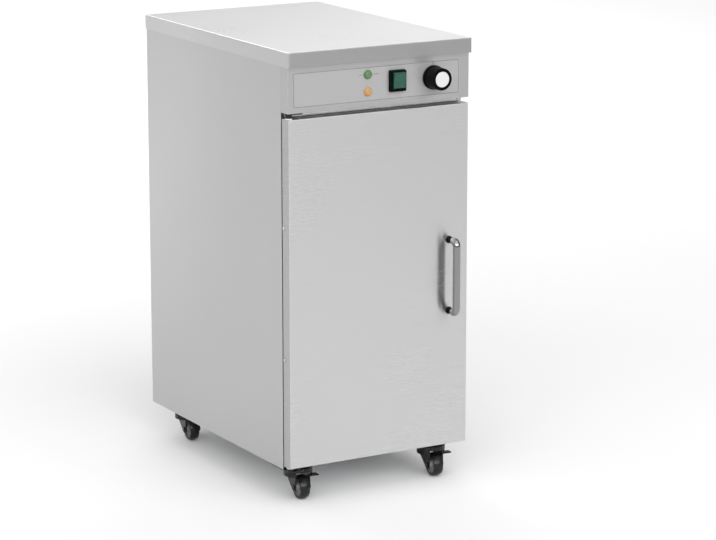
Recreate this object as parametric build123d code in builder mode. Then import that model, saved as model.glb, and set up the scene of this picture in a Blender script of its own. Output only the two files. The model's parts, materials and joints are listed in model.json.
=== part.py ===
from build123d import *
import math
import os

os.makedirs("parts", exist_ok=True)

# ---------------------------------------------------------------- driving dimensions (mm)
BODY_W = 400.0            # over the side panels
BODY_D = 572.0            # front plane of the body to the face of the back panel
HEIGHT = 885.0            # floor to worktop
SHELL_Z0 = 68.5           # lower edge of the side panels
SHEET = 1.0               # shell sheet
LINER_T = 0.8             # liner sheet

LID_T = 1.2               # worktop sheet
LID_SIDE = 1.5            # worktop past each side panel
LID_FRONT = 35.3          # worktop edge ahead of the front plane
LID_BACK = 1.5            # worktop edge behind the back panel
LID_APRON = 29.0          # apron depth

PANEL_Z0 = 768.0          # lower edge of the control strip
PANEL_Y = -27.5           # its front face, from the front plane
TRAY_DEPTH = 118.0        # how far the strip's floor runs back as a tray
OVERLAY_T = 0.4
BRACKET_T = 2.5           # hinge brackets, and the strip's height over the door surround

DOOR_W = 398.0
DOOR_Z0 = 75.0
DOOR_Z1 = 757.0
DOOR_Y0 = -28.0           # front face
DOOR_Y1 = -2.5            # back face
HINGE_X = -192.0          # hinge line, from the centre
HINGE_Y = -16.0
HINGE_PIN_R = 4.0
HINGE_BORE_R = 4.06

OPEN_X = 162.0            # half width of the door opening
OPEN_Z0 = 112.0
OPEN_Z1 = 728.0
LINER_X = 163.2           # inner face of the side liners
LINER_BACK_Y = 545.0
JAMB_D = 22.0

HANDLE_X = 157.5
HANDLE_Z = 418.5
HANDLE_CC = 142.0         # between the two legs of the grip
HANDLE_OUT = 28.0         # door face to the middle of the grip
GRIP_D = 15.0
GRIP_BEND = 10.0          # bend radius of the grip, at its middle line
POST_R = 6.0              # black stand-offs between door and grip
POST_L = 15.0

KNOB_X = 118.2
CTRL_Z = 813.5            # middle height of the controls
KNOB_D = 47.0
KNOB_H = 34.0
SHAFT_R = 3.0
SHAFT_BORE_R = 3.05

ROCKER_X = 37.5
ROCKER_PIVOT_Y = -32.0
ROCKER_TILT = 7.0         # either side of its middle
ROCKER_W = 26.0
BEZEL_W, BEZEL_H = 36.0, 42.0
BEZEL_Y = -36.0           # front of its surround
ROCKER_R = 16.4           # swing radius of its ends
ROCKER_Z = CTRL_Z + 1.5     # the rocker sits a little high in its surround
ROCKER_PIN_R = 2.0

LAMP_X = -27.0
LAMP_Z = (830.0, 797.0)   # green, orange
LAMP_R = 9.0              # flange

SHELF_Z = (300.0, 445.0, 590.0)   # tops of the shelf ledges
DECK_Z = 150.0            # top of the perforated deck
HEATER_Z = 130.0
HEATER_R = 4.25

CASTER_X = 152.0
CASTER_Y = (27.5, 500.0)  # front pair, rear pair
CASTER_TOP = 69.5
CASTER_TURN = -6.0        # how the four forks stand, about +Z
TRAIL = 16.0
WHEEL_R = 24.0
WHEEL_W = 19.0
CROWN_R = 28.5            # fork head
SKIRT_Z = 45.0            # foot of the skirt round the fork head
PLATE = 48.0
KINGPIN_R = 4.0
AXLE_R = 3.0

GLAND_X = -140.0
GLAND_Z = 800.0
GLAND_BORE_R = 4.5
GLAND_BACK = BODY_D + 13.0

# the frame's origin: floor level, middle of the width, middle of the overall depth
Y_FRONT = DOOR_Y0 - HANDLE_OUT - GRIP_D / 2
Y_MID = (Y_FRONT + GLAND_BACK) / 2
FRAME_TOP = PANEL_Z0 - BRACKET_T
HW = BODY_W / 2
DW = DOOR_W / 2


def Y(v):
    """Frame y of a distance v behind the body's front plane."""
    return v - Y_MID


def xz(v):
    """Upright plane facing forward, v behind the body's front plane."""
    return Plane.XZ.offset(-Y(v))


def slab(x0, x1, y0, y1, z0, z1, mode=Mode.ADD):
    with Locations(((x0 + x1) / 2, Y((y0 + y1) / 2), (z0 + z1) / 2)):
        Box(x1 - x0, y1 - y0, z1 - z0, mode=mode)


def upright_edge(part, x, y, tol=0.3):
    return part.edges().filter_by(Axis.Z).filter_by(
        lambda e: abs(e.center().X - x) < tol and abs(e.center().Y - Y(y)) < tol)


def save(part, name):
    part.part.label = name
    export_step(part.part, "parts/" + name + ".step")


# ================================================================ cabinet shell
# worktop: folded lid, apron all round, hem under the front overhang
with BuildPart() as worktop:
    lid_w = BODY_W + 2 * LID_SIDE
    lid_y0, lid_y1 = -LID_FRONT, BODY_D + LID_BACK
    lid_z0 = HEIGHT - LID_APRON
    with BuildSketch(Plane.XY.offset(lid_z0)):
        with Locations((0, Y((lid_y0 + lid_y1) / 2))):
            RectangleRounded(lid_w, lid_y1 - lid_y0, 2.2)
    extrude(amount=LID_APRON)
    fillet(worktop.faces().sort_by(Axis.Z)[-1].edges(), radius=1.6)
    with BuildSketch(Plane.XY.offset(lid_z0)):
        with Locations((0, Y((lid_y0 + lid_y1) / 2))):
            Rectangle(lid_w - 2 * LID_T, lid_y1 - lid_y0 - 2 * LID_T)
    extrude(amount=LID_APRON - LID_T, mode=Mode.SUBTRACT)
    slab(-lid_w / 2 + 1, lid_w / 2 - 1, lid_y0 + LID_T - 0.2, PANEL_Y - 0.1, lid_z0, lid_z0 + LID_T)
save(worktop, "worktop")

BACK_SCREW_Z = (100.0, 350.0, 600.0, 845.0)
BACK_SCREW_X = 190.0
LOW_HINGE_SCREWS = ((-190.5, 14.0), (-190.5, 44.0))


def side_panel(sign, name):
    """Outer side sheet with front, back, top and bottom flanges."""
    with BuildPart() as p:
        lo, hi = sorted((sign * HW, sign * (HW - SHEET)))
        with BuildSketch(Plane.XY.offset(SHELL_Z0)):
            with Locations(((lo + hi) / 2, Y((BODY_D - SHEET) / 2))):
                Rectangle(SHEET, BODY_D - SHEET)
        extrude(amount=HEIGHT - LID_T - SHELL_Z0)

        def flange(a, b, y0, y1, z0, z1):
            x0, x1 = sorted((sign * a, sign * b))
            slab(x0, x1, y0, y1, z0, z1)

        flange(HW - 10, HW - 0.5, 0, SHEET, SHELL_Z0, FRAME_TOP - 0.1)
        flange(HW - 18, HW - 0.5, 0.5, BODY_D - SHEET, SHELL_Z0, SHELL_Z0 + SHEET)
        flange(HW - 18, HW - 0.5, BODY_D - 2 * SHEET, BODY_D - SHEET, SHELL_Z0, HEIGHT - LID_T)
        flange(HW - 15, HW - 0.5, 0, BODY_D - SHEET, HEIGHT - LID_T - SHEET, HEIGHT - LID_T)
        fillet(upright_edge(p, sign * HW, 0), radius=0.9)
        fillet(upright_edge(p, sign * HW, BODY_D - SHEET), radius=0.9)
        with BuildSketch(xz(BODY_D)):
            with Locations(*[(sign * BACK_SCREW_X, z) for z in BACK_SCREW_Z]):
                Circle(2.0)
        extrude(amount=5, mode=Mode.SUBTRACT)
        if sign < 0:
            with BuildSketch(Plane.XY.offset(SHELL_Z0 - 1)):
                with Locations(*[(x, Y(y)) for x, y in LOW_HINGE_SCREWS]):
                    Circle(2.0)
            extrude(amount=3, mode=Mode.SUBTRACT)
    save(p, name)
    return p


side_panel_left = side_panel(-1, "side_panel_left")
side_panel_right = side_panel(1, "side_panel_right")

# back panel: flat sheet outside the side flanges, two vent rows, hole for the gland
with BuildPart() as back_panel:
    with BuildSketch(xz(BODY_D)):
        with Locations((0, (SHELL_Z0 + 1 + HEIGHT - LID_T - 1) / 2)):
            Rectangle(BODY_W - 2.2, HEIGHT - LID_T - 1 - SHELL_Z0 - 1)
        with Locations(*[(s * BACK_SCREW_X, z) for s in (-1, 1) for z in BACK_SCREW_Z]):
            Circle(2.0, mode=Mode.SUBTRACT)
        with Locations((GLAND_X, GLAND_Z)):
            Circle(8.05, mode=Mode.SUBTRACT)
        with Locations((60, 826)):
            with GridLocations(22, 26, 6, 2):
                SlotOverall(20, 4, rotation=90, mode=Mode.SUBTRACT)
    extrude(amount=SHEET)
save(back_panel, "back_panel")

BOLT = 18.5
CASTERS = {"fl": (-CASTER_X, CASTER_Y[0]), "fr": (CASTER_X, CASTER_Y[0]),
           "rl": (-CASTER_X, CASTER_Y[1]), "rr": (CASTER_X, CASTER_Y[1])}
BOLT_XY = [(cx + sx * BOLT, Y(cy + sy * BOLT))
           for cx, cy in CASTERS.values() for sx in (-1, 1) for sy in (-1, 1)]

# base pan: lies on the side panels' bottom flanges and carries the casters
with BuildPart() as base_pan:
    slab(-198.9, 198.9, 2.1, 569.9, CASTER_TOP, CASTER_TOP + 1.5)
    slab(-196, 196, 2.1, 3.6, CASTER_TOP, 95)
    slab(-180, 180, 568.4, 569.9, CASTER_TOP, 95)
    with BuildSketch(Plane.XY.offset(CASTER_TOP - 1)):
        with Locations(*BOLT_XY):
            Circle(2.55)
        with Locations(*[(x, Y(y)) for x, y in LOW_HINGE_SCREWS]):
            Circle(2.0)
    extrude(amount=4, mode=Mode.SUBTRACT)
save(base_pan, "base_pan")

# door surround: face behind the side flanges, jambs into the liner, top flange
UP_HINGE_SCREWS = ((-186.0, 10.0), (-172.0, 18.0))
MAGNET = (164.5, 170.5, 401.0, 441.0)
with BuildPart() as front_frame:
    with BuildSketch(xz(2.0)):
        with Locations((0, (69.6 + FRAME_TOP) / 2)):
            Rectangle(397.8, FRAME_TOP - 69.6)
        with Locations((0, (OPEN_Z0 + OPEN_Z1) / 2)):
            Rectangle(2 * OPEN_X, OPEN_Z1 - OPEN_Z0, mode=Mode.SUBTRACT)
        with Locations(((MAGNET[0] + MAGNET[1]) / 2, (MAGNET[2] + MAGNET[3]) / 2)):
            Rectangle(MAGNET[1] - MAGNET[0] + 0.1, MAGNET[3] - MAGNET[2] + 0.1, mode=Mode.SUBTRACT)
    extrude(amount=1.0)
    with BuildSketch(xz(JAMB_D)):
        with Locations((0, (OPEN_Z0 + OPEN_Z1) / 2)):
            Rectangle(2 * OPEN_X + 2, OPEN_Z1 - OPEN_Z0 + 2)
            Rectangle(2 * OPEN_X, OPEN_Z1 - OPEN_Z0, mode=Mode.SUBTRACT)
    extrude(amount=JAMB_D - 1.5)
    slab(-197.8, 197.8, 1.5, 27, FRAME_TOP - 1, FRAME_TOP)
    with BuildSketch(Plane.XY.offset(FRAME_TOP - 2)):
        with Locations(*[(x, Y(y)) for x, y in UP_HINGE_SCREWS]):
            Circle(2.0)
    extrude(amount=3, mode=Mode.SUBTRACT)
save(front_frame, "front_frame")

# control strip: front sheet, side returns, floor that runs back as the electrics tray
LAMP_HOLE_R = 5.1
CUT_W, CUT_H = 24.4, 30.4
with BuildPart() as control_fascia:
    slab(-HW, HW, PANEL_Y, -0.1, PANEL_Z0, HEIGHT - LID_T - 0.2)
    fillet(upright_edge(control_fascia, -HW, PANEL_Y) + upright_edge(control_fascia, HW, PANEL_Y), radius=1.2)
    fillet(control_fascia.edges().filter_by(Axis.X).sort_by(Axis.Z)[:2].sort_by(Axis.Y)[0], radius=0.9)
    slab(-HW + SHEET, HW - SHEET, PANEL_Y + SHEET, 5, PANEL_Z0 + SHEET, HEIGHT, mode=Mode.SUBTRACT)
    slab(-198.8, 198.8, -1, TRAY_DEPTH, PANEL_Z0, PANEL_Z0 + SHEET)
    slab(-198.8, 198.8, TRAY_DEPTH - SHEET, TRAY_DEPTH, PANEL_Z0, PANEL_Z0 + 14)
    with BuildSketch(xz(0)):
        with Locations((KNOB_X, CTRL_Z)):
            Circle(5.0)
        with Locations((ROCKER_X, CTRL_Z)):
            Rectangle(CUT_W, CUT_H)
        with Locations(*[(LAMP_X, z) for z in LAMP_Z]):
            Circle(LAMP_HOLE_R)
    extrude(amount=40, mode=Mode.SUBTRACT)
    with BuildSketch(Plane.XY.offset(PANEL_Z0 - 1)):
        with Locations((KNOB_X, Y(60))):
            Circle(2.0)
    extrude(amount=4, mode=Mode.SUBTRACT)
save(control_fascia, "control_fascia")

# thin bordered plate on the strip
OV_X0, OV_X1, OV_Z0, OV_Z1 = -188.5, 177.3, 778.5, 845.0
with BuildPart() as fascia_overlay:
    with BuildSketch(xz(PANEL_Y)):
        with Locations(((OV_X0 + OV_X1) / 2, (OV_Z0 + OV_Z1) / 2)):
            RectangleRounded(OV_X1 - OV_X0, OV_Z1 - OV_Z0, 2.0)
        with Locations((KNOB_X, CTRL_Z)):
            Circle(5.2, mode=Mode.SUBTRACT)
        with Locations((ROCKER_X, CTRL_Z)):
            Rectangle(CUT_W + 0.2, CUT_H + 0.2, mode=Mode.SUBTRACT)
        with Locations(*[(LAMP_X, z) for z in LAMP_Z]):
            Circle(LAMP_HOLE_R + 0.1, mode=Mode.SUBTRACT)
    extrude(amount=OVERLAY_T)
save(fascia_overlay, "fascia_overlay")

# ================================================================ inner box
LX, LT = LINER_X, LINER_T


def liner_side(sign, name):
    with BuildPart() as p:
        x0, x1 = sorted((sign * LX, sign * (LX + LT)))
        slab(x0, x1, 9, LINER_BACK_Y + 1, OPEN_Z0 - 1.2, OPEN_Z1 + 1.2)
        if sign > 0:
            slab(LX - 1, LX + LT + 1, 0, 12.0, MAGNET[2] - 3, MAGNET[3] + 3, mode=Mode.SUBTRACT)
    save(p, name)
    return p


liner_left = liner_side(-1, "liner_left")
liner_right = liner_side(1, "liner_right")

HEATER_X = (-110.0, -40.0, 40.0, 110.0)
with BuildPart() as liner_back:
    slab(-LX + 0.1, LX - 0.1, LINER_BACK_Y, LINER_BACK_Y + LT, OPEN_Z0 - 1.1, OPEN_Z1 + 1.1)
    with BuildSketch(xz(LINER_BACK_Y + 2)):
        with Locations((HEATER_X[0], HEATER_Z), (HEATER_X[3], HEATER_Z)):
            Circle(4.6)
    extrude(amount=4, mode=Mode.SUBTRACT)
save(liner_back, "liner_back")

with BuildPart() as liner_top:
    slab(-LX - LT, LX + LT, 9, LINER_BACK_Y + 1, OPEN_Z1 + 1.2, OPEN_Z1 + 1.2 + LT)
    with BuildSketch(Plane.XY.offset(OPEN_Z1)):
        with Locations((KNOB_X, Y(60))):
            Circle(2.0)
    extrude(amount=4, mode=Mode.SUBTRACT)
save(liner_top, "liner_top")

FLOOR_Z = OPEN_Z0 - 1.2          # top face of the liner floor
with BuildPart() as liner_floor:
    slab(-LX - LT, LX + LT, 9, LINER_BACK_Y + 1, FLOOR_Z - LT, FLOOR_Z)
save(liner_floor, "liner_floor")

# five wool slabs between shell and liner, one group of separate solids
with BuildPart() as insulation:
    slab(-198.7, -LX - LT - 0.2, 12.5, 562.5, 96.0, 757.0)
    slab(LX + LT + 0.2, 198.7, 12.5, 562.5, 96.0, 757.0)
    slab(-LX - LT, LX + LT, LINER_BACK_Y + 1.2, 562.5, 96.0, 757.0)
    slab(-LX - LT, LX + LT, 9, LINER_BACK_Y + 1.0, 78.0, FLOOR_Z - LT - 0.2)
    slab(-LX - LT, LX + LT, 23, LINER_BACK_Y + 1.0, OPEN_Z1 + 1.4 + LT, 757.0)
    with BuildSketch(xz(570)):
        with Locations((HEATER_X[0], HEATER_Z), (HEATER_X[3], HEATER_Z)):
            Circle(4.6)
    extrude(amount=26, mode=Mode.SUBTRACT)
    with BuildSketch(Plane.XY.offset(OPEN_Z1 + 1)):
        with Locations((KNOB_X, Y(60))):
            Circle(2.0)
    extrude(amount=40, mode=Mode.SUBTRACT)
save(insulation, "insulation")

# ================================================================ shelves and their racks
RACK_Y = (75.0, 485.0)


def shelf_rack(sign, name):
    """Two upright strips with three angle ledges, welded up."""
    with BuildPart() as p:
        x0, x1 = sorted((sign * (LX - 0.1), sign * (LX - 1.6)))
        for y in RACK_Y:
            slab(x0, x1, y - 12.5, y + 12.5, 120, 716)
        a0, a1 = sorted((sign * (LX - 1.6), sign * (LX - 13.6)))
        b0, b1 = sorted((sign * (LX - 1.6), sign * (LX - 3.1)))
        for z in SHELF_Z:
            slab(a0, a1, 32, 528, z - 1.5, z)
            slab(b0, b1, 32, 528, z - 14, z - 1.4)
    save(p, name)
    return p


shelf_rack_left = shelf_rack(-1, "shelf_rack_left")
shelf_rack_right = shelf_rack(1, "shelf_rack_right")

SHELF_X, SHELF_Y0, SHELF_Y1 = 154.5, 41.0, 519.0
ROD_R, WIRE_R = 3.0, 1.5


def wire_shelf(z, name):
    """Rod frame with fine wires welded across the top."""
    zc = z + ROD_R + 0.05
    zw = zc + 3.4
    with BuildPart() as p:
        with BuildLine() as rim:
            FilletPolyline((-SHELF_X, Y(SHELF_Y0), zc), (SHELF_X, Y(SHELF_Y0), zc),
                           (SHELF_X, Y(SHELF_Y1), zc), (-SHELF_X, Y(SHELF_Y1), zc),
                           radius=12, close=True)
        with BuildSketch(Plane(origin=rim.line @ 0, z_dir=rim.line % 0)):
            Circle(ROD_R)
        sweep(path=rim.line)
        with BuildSketch(xz(SHELF_Y1)):
            with Locations((0, zw)):
                with GridLocations(22.0, 1, 13, 1):
                    Circle(WIRE_R)
        extrude(amount=SHELF_Y1 - SHELF_Y0)
        with BuildSketch(Plane.YZ.offset(-SHELF_X)):
            with Locations((Y(200), zc), (Y(360), zc)):
                Circle(2.3)
        extrude(amount=2 * SHELF_X)
    save(p, name)
    return p


wire_shelf_lower = wire_shelf(SHELF_Z[0], "wire_shelf_lower")
wire_shelf_middle = wire_shelf(SHELF_Z[1], "wire_shelf_middle")
wire_shelf_upper = wire_shelf(SHELF_Z[2], "wire_shelf_upper")

# ================================================================ heating
with BuildPart() as heater_element:
    with BuildLine() as run:
        FilletPolyline((HEATER_X[0], Y(562), HEATER_Z), (HEATER_X[0], Y(80), HEATER_Z),
                       (HEATER_X[1], Y(80), HEATER_Z), (HEATER_X[1], Y(470), HEATER_Z),
                       (HEATER_X[2], Y(470), HEATER_Z), (HEATER_X[2], Y(80), HEATER_Z),
                       (HEATER_X[3], Y(80), HEATER_Z), (HEATER_X[3], Y(562), HEATER_Z), radius=30)
    with BuildSketch(Plane(origin=run.line @ 0, z_dir=run.line % 0)):
        Circle(HEATER_R)
    sweep(path=run.line)
save(heater_element, "heater_element")

SADDLE_Y = (150.0, 400.0)
with BuildPart() as heater_saddles:
    for y in SADDLE_Y:
        slab(-128, 128, y, y + 1.5, FLOOR_Z + 0.05, HEATER_Z + 10)
        slab(-128, 128, y, y + 16, FLOOR_Z + 0.05, FLOOR_Z + 1.55)
    with BuildSketch(xz(SADDLE_Y[1] + 5)):
        with Locations(*[(x, HEATER_Z) for x in HEATER_X]):
            Circle(HEATER_R + 0.15)
    extrude(amount=SADDLE_Y[1] - SADDLE_Y[0] + 10, mode=Mode.SUBTRACT)
save(heater_saddles, "heater_saddles")

with BuildPart() as heater_guard:
    slab(-160, 160, 26, 540, DECK_Z - 1.2, DECK_Z)
    slab(-160, -158.8, 26, 540, FLOOR_Z + 0.05, DECK_Z)
    slab(158.8, 160, 26, 540, FLOOR_Z + 0.05, DECK_Z)
    with BuildSketch(Plane.XY.offset(DECK_Z - 5)):
        with Locations((0, Y(283))):
            with GridLocations(48, 36, 6, 13):
                SlotOverall(36, 7)
    extrude(amount=8, mode=Mode.SUBTRACT)
save(heater_guard, "heater_guard")

# ================================================================ controls
with BuildPart() as thermostat_body:
    slab(KNOB_X - 22, KNOB_X + 22, PANEL_Y + SHEET, 8, CTRL_Z - 17, CTRL_Z + 17)
    fillet(thermostat_body.edges().filter_by(Axis.Y), radius=2)
    with BuildSketch(xz(PANEL_Y + SHEET + 1)):
        with Locations((KNOB_X, CTRL_Z)):
            Circle(4.9)
    extrude(amount=1 + SHEET - 0.1)
    with BuildSketch(xz(2)):
        with Locations((KNOB_X, CTRL_Z)):
            Circle(SHAFT_BORE_R)
    extrude(amount=40, mode=Mode.SUBTRACT)
save(thermostat_body, "thermostat_body")

# capillary from the thermostat down through the roof of the oven to its bulb
with BuildPart() as thermostat_bulb:
    with BuildLine() as capillary:
        FilletPolyline((KNOB_X, Y(8.05), CTRL_Z), (KNOB_X, Y(60), CTRL_Z),
                       (KNOB_X, Y(60), 716), (KNOB_X, Y(86), 716), radius=8)
    with BuildSketch(Plane(origin=capillary.line @ 0, z_dir=capillary.line % 0)):
        Circle(1.1)
    sweep(path=capillary.line)
    with BuildSketch(xz(172)):
        with Locations((KNOB_X, 716)):
            Circle(3.2)
    extrude(amount=90)
    for y in (98, 158):
        slab(KNOB_X - 4.5, KNOB_X + 4.5, y, y + 8, 715, OPEN_Z1 + 1.15)
save(thermostat_bulb, "thermostat_bulb")

with BuildPart() as thermostat_shaft:
    with BuildSketch(xz(1.5)):
        with Locations((KNOB_X, CTRL_Z)):
            Circle(SHAFT_R)
    extrude(amount=48.0)
    slab(KNOB_X - 5, KNOB_X + 5, -50, -33, CTRL_Z + 2.0, CTRL_Z + 5, mode=Mode.SUBTRACT)
save(thermostat_shaft, "thermostat_shaft")

KNOB_Y0 = PANEL_Y - OVERLAY_T - 1.1
CAP_R = 15.0
with BuildPart() as thermostat_knob:
    with BuildSketch(xz(KNOB_Y0)):
        with Locations((KNOB_X, CTRL_Z)):
            Circle(KNOB_D / 2)
    extrude(amount=5)
    with BuildSketch(xz(KNOB_Y0 - 5)):
        with Locations((KNOB_X, CTRL_Z)):
            Circle(KNOB_D / 2 - 1.2)
    extrude(amount=KNOB_H - 5, taper=2.0)
    with BuildSketch(xz(KNOB_Y0 - 7)):
        with Locations((KNOB_X, CTRL_Z)):
            with PolarLocations(KNOB_D / 2 - 0.4, 28):
                Circle(1.5)
    extrude(amount=KNOB_H, taper=2.0, mode=Mode.SUBTRACT)
    rims = thermostat_knob.faces().filter_by(GeomType.PLANE).sort_by(Axis.Y)[0]
    fillet(rims.edges(), radius=0.9)
    with BuildSketch(xz(KNOB_Y0 - KNOB_H + 1.2)):
        with Locations((KNOB_X, CTRL_Z)):
            Circle(CAP_R + 0.1)
    extrude(amount=3, mode=Mode.SUBTRACT)
    with BuildSketch(xz(KNOB_Y0 + 1)):
        with Locations((KNOB_X, CTRL_Z)):
            Circle(SHAFT_BORE_R)
            with Locations((0, SHAFT_R + 1.05)):
                Rectangle(10, 4, mode=Mode.SUBTRACT)
    extrude(amount=21, mode=Mode.SUBTRACT)
    with BuildSketch(xz(KNOB_Y0 + 1)):
        with Locations((KNOB_X, CTRL_Z)):
            Circle(SHAFT_BORE_R)
    extrude(amount=5.2, mode=Mode.SUBTRACT)
save(thermostat_knob, "thermostat_knob")

with BuildPart() as knob_cap:
    with BuildSketch(xz(KNOB_Y0 - KNOB_H + 1.2)):
        with Locations((KNOB_X, CTRL_Z)):
            Circle(CAP_R)
    extrude(amount=1.7)
    fillet(knob_cap.faces().sort_by(Axis.Y)[0].edges(), radius=0.6)
save(knob_cap, "knob_cap")

# rocker switch: raised surround that the rocker stands out of, body through the strip
with BuildPart() as rocker_housing:
    with BuildSketch(xz(PANEL_Y - OVERLAY_T)):
        with Locations((ROCKER_X, CTRL_Z)):
            RectangleRounded(BEZEL_W, BEZEL_H, 2.5)
    extrude(amount=2.5)
    with BuildSketch(xz(PANEL_Y - OVERLAY_T - 2.4)):
        with Locations((ROCKER_X, CTRL_Z)):
            RectangleRounded(BEZEL_W - 1.6, BEZEL_H - 1.6, 2.2)
    extrude(amount=PANEL_Y - OVERLAY_T - 2.4 - BEZEL_Y, taper=2)
    fillet(rocker_housing.faces().sort_by(Axis.Y)[0].edges(), radius=0.8)
    slab(ROCKER_X - 12, ROCKER_X + 12, PANEL_Y - 2, 4, CTRL_Z - 15, CTRL_Z + 15)
    slab(ROCKER_X - ROCKER_W / 2 - 0.3, ROCKER_X + ROCKER_W / 2 + 0.3, BEZEL_Y - 1, -29.0,
         ROCKER_Z - ROCKER_R - 0.4, ROCKER_Z + ROCKER_R + 0.4, mode=Mode.SUBTRACT)
    slab(ROCKER_X - 10, ROCKER_X + 10, -30, -22.0, CTRL_Z - 11.5, CTRL_Z + 11.5, mode=Mode.SUBTRACT)
    with BuildSketch(Plane.YZ.offset(ROCKER_X - 15.2)):
        with Locations((Y(ROCKER_PIVOT_Y), ROCKER_Z)):
            Circle(ROCKER_PIN_R + 0.05)
    extrude(amount=30.4, mode=Mode.SUBTRACT)
save(rocker_housing, "rocker_housing")

# the rocker: shallow V face, ends on arcs about its pivot, tipped with its head out
tilt = math.radians(ROCKER_TILT)
rk = Plane(origin=(ROCKER_X - ROCKER_W / 2, Y(ROCKER_PIVOT_Y), ROCKER_Z),
           x_dir=(0, -math.cos(tilt), -math.sin(tilt)), z_dir=(1, 0, 0))
rise = 22 * math.tan(tilt)
with BuildPart() as rocker_button:
    with BuildSketch(rk):
        Circle(ROCKER_R)
        with BuildLine():
            Polyline((7.5, 0), (7.5 + rise, 22), (1.0 + rise, 22), (-2.0, 5), (-2.0, -5),
                     (1.0 + rise, -22), (7.5 + rise, -22), (7.5, 0))
        make_face(mode=Mode.INTERSECT)
    extrude(amount=ROCKER_W)
    outer = rocker_button.edges().filter_by(Axis.X).sort_by(Axis.Y)[:3]
    fillet([e for e in outer if abs(e.center().Z - ROCKER_Z) > 5], radius=0.9)
    with BuildSketch(Plane.YZ.offset(ROCKER_X - 14.8)):
        with Locations((Y(ROCKER_PIVOT_Y), ROCKER_Z)):
            Circle(ROCKER_PIN_R)
    extrude(amount=29.6)
save(rocker_button, "rocker_button")


def pilot_lamp(z, name):
    """Domed lens on a flange with its barrel through the strip."""
    y0 = PANEL_Y - OVERLAY_T
    with BuildPart() as p:
        with BuildSketch(xz(y0)):
            with Locations((LAMP_X, z)):
                Circle(LAMP_R)
        extrude(amount=1.8)
        fillet(p.faces().sort_by(Axis.Y)[0].edges(), radius=0.5)
        with BuildSketch(xz(y0 - 1.7)):
            with Locations((LAMP_X, z)):
                Circle(LAMP_R - 2.0)
        extrude(amount=3.6)
        fillet(p.faces().sort_by(Axis.Y)[0].edges(), radius=2.8)
        with BuildSketch(xz(-6)):
            with Locations((LAMP_X, z)):
                Circle(5.0)
        extrude(amount=-y0 - 6 + 0.1)
    save(p, name)
    return p


lamp_green = pilot_lamp(LAMP_Z[0], "lamp_green")
lamp_orange = pilot_lamp(LAMP_Z[1], "lamp_orange")

with BuildPart() as terminal_block:
    slab(-95, -25, 78, 104, PANEL_Z0 + SHEET, PANEL_Z0 + SHEET + 20)
    chamfer(terminal_block.edges().filter_by(Axis.X).sort_by(Axis.Z)[-2:], length=3)
    with BuildSketch(Plane.XY.offset(PANEL_Z0 + SHEET + 21)):
        with Locations((-60, Y(91))):
            with GridLocations(11, 12, 6, 2):
                Circle(3)
    extrude(amount=-9, mode=Mode.SUBTRACT)
save(terminal_block, "terminal_block")

# cable gland: hex nut, domed cap and barrel, bored for the supply cord
with BuildPart() as cable_gland:
    with BuildSketch(xz(BODY_D)):
        with Locations((GLAND_X, GLAND_Z)):
            Circle(8.0)
    extrude(amount=16)
    with BuildSketch(xz(BODY_D + 6)):
        with Locations((GLAND_X, GLAND_Z)):
            RegularPolygon(12, 6)
    extrude(amount=6)
    with BuildSketch(xz(GLAND_BACK)):
        with Locations((GLAND_X, GLAND_Z)):
            Circle(9.5)
    extrude(amount=8)
    fillet(cable_gland.faces().sort_by(Axis.Y)[-1].edges(), radius=2.5)
    with BuildSketch(xz(BODY_D - SHEET - 1)):
        with Locations((GLAND_X, GLAND_Z)):
            RegularPolygon(11.5, 6)
    extrude(amount=4)
    with BuildSketch(xz(GLAND_BACK + 1)):
        with Locations((GLAND_X, GLAND_Z)):
            Circle(GLAND_BORE_R)
    extrude(amount=40, mode=Mode.SUBTRACT)
save(cable_gland, "cable_gland")

# ================================================================ hinges and catch
with BuildPart() as hinge_bracket_upper:
    slab(-198.8, -164, -25, 25, PANEL_Z0 - BRACKET_T, PANEL_Z0)
    fillet(upright_edge(hinge_bracket_upper, -198.8, -25) + upright_edge(hinge_bracket_upper, -164, -25), radius=6)
    with BuildSketch(Plane.XY.offset(PANEL_Z0 - BRACKET_T)):
        with Locations((HINGE_X, Y(HINGE_Y))):
            Circle(6.5)
    extrude(amount=-(FRAME_TOP - DOOR_Z1 - 1.6))
    with BuildSketch(Plane.XY.offset(PANEL_Z0 - BRACKET_T)):
        with Locations((HINGE_X, Y(HINGE_Y))):
            Circle(HINGE_PIN_R)
    extrude(amount=-(PANEL_Z0 - BRACKET_T - 744))
    with BuildSketch(Plane.XY.offset(PANEL_Z0 - BRACKET_T - 1)):
        with Locations(*[(x, Y(y)) for x, y in UP_HINGE_SCREWS]):
            Circle(2.05)
    extrude(amount=5, mode=Mode.SUBTRACT)
    with BuildSketch(Plane.XY.offset(PANEL_Z0)):
        with Locations(*[(x, Y(y)) for x, y in UP_HINGE_SCREWS]):
            Circle(4.1)
    extrude(amount=-2.1, taper=44, mode=Mode.SUBTRACT)
save(hinge_bracket_upper, "hinge_bracket_upper")

with BuildPart() as hinge_bracket_lower:
    slab(-198.8, -181, -25, 56, SHELL_Z0 - BRACKET_T, SHELL_Z0)
    slab(-198.8, -166, -25, -1, SHELL_Z0 - BRACKET_T, SHELL_Z0)
    fillet(upright_edge(hinge_bracket_lower, -198.8, -25) + upright_edge(hinge_bracket_lower, -166, -25), radius=6)
    with BuildSketch(Plane.XY.offset(SHELL_Z0)):
        with Locations((HINGE_X, Y(HINGE_Y))):
            Circle(7.0)
    extrude(amount=DOOR_Z0 - 1.6 - SHELL_Z0)
    with BuildSketch(Plane.XY.offset(SHELL_Z0)):
        with Locations((HINGE_X, Y(HINGE_Y))):
            Circle(HINGE_PIN_R)
    extrude(amount=20)
    with BuildSketch(Plane.XY.offset(SHELL_Z0 - 5)):
        with Locations(*[(x, Y(y)) for x, y in LOW_HINGE_SCREWS]):
            Circle(2.05)
    extrude(amount=8, mode=Mode.SUBTRACT)
save(hinge_bracket_lower, "hinge_bracket_lower")

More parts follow.
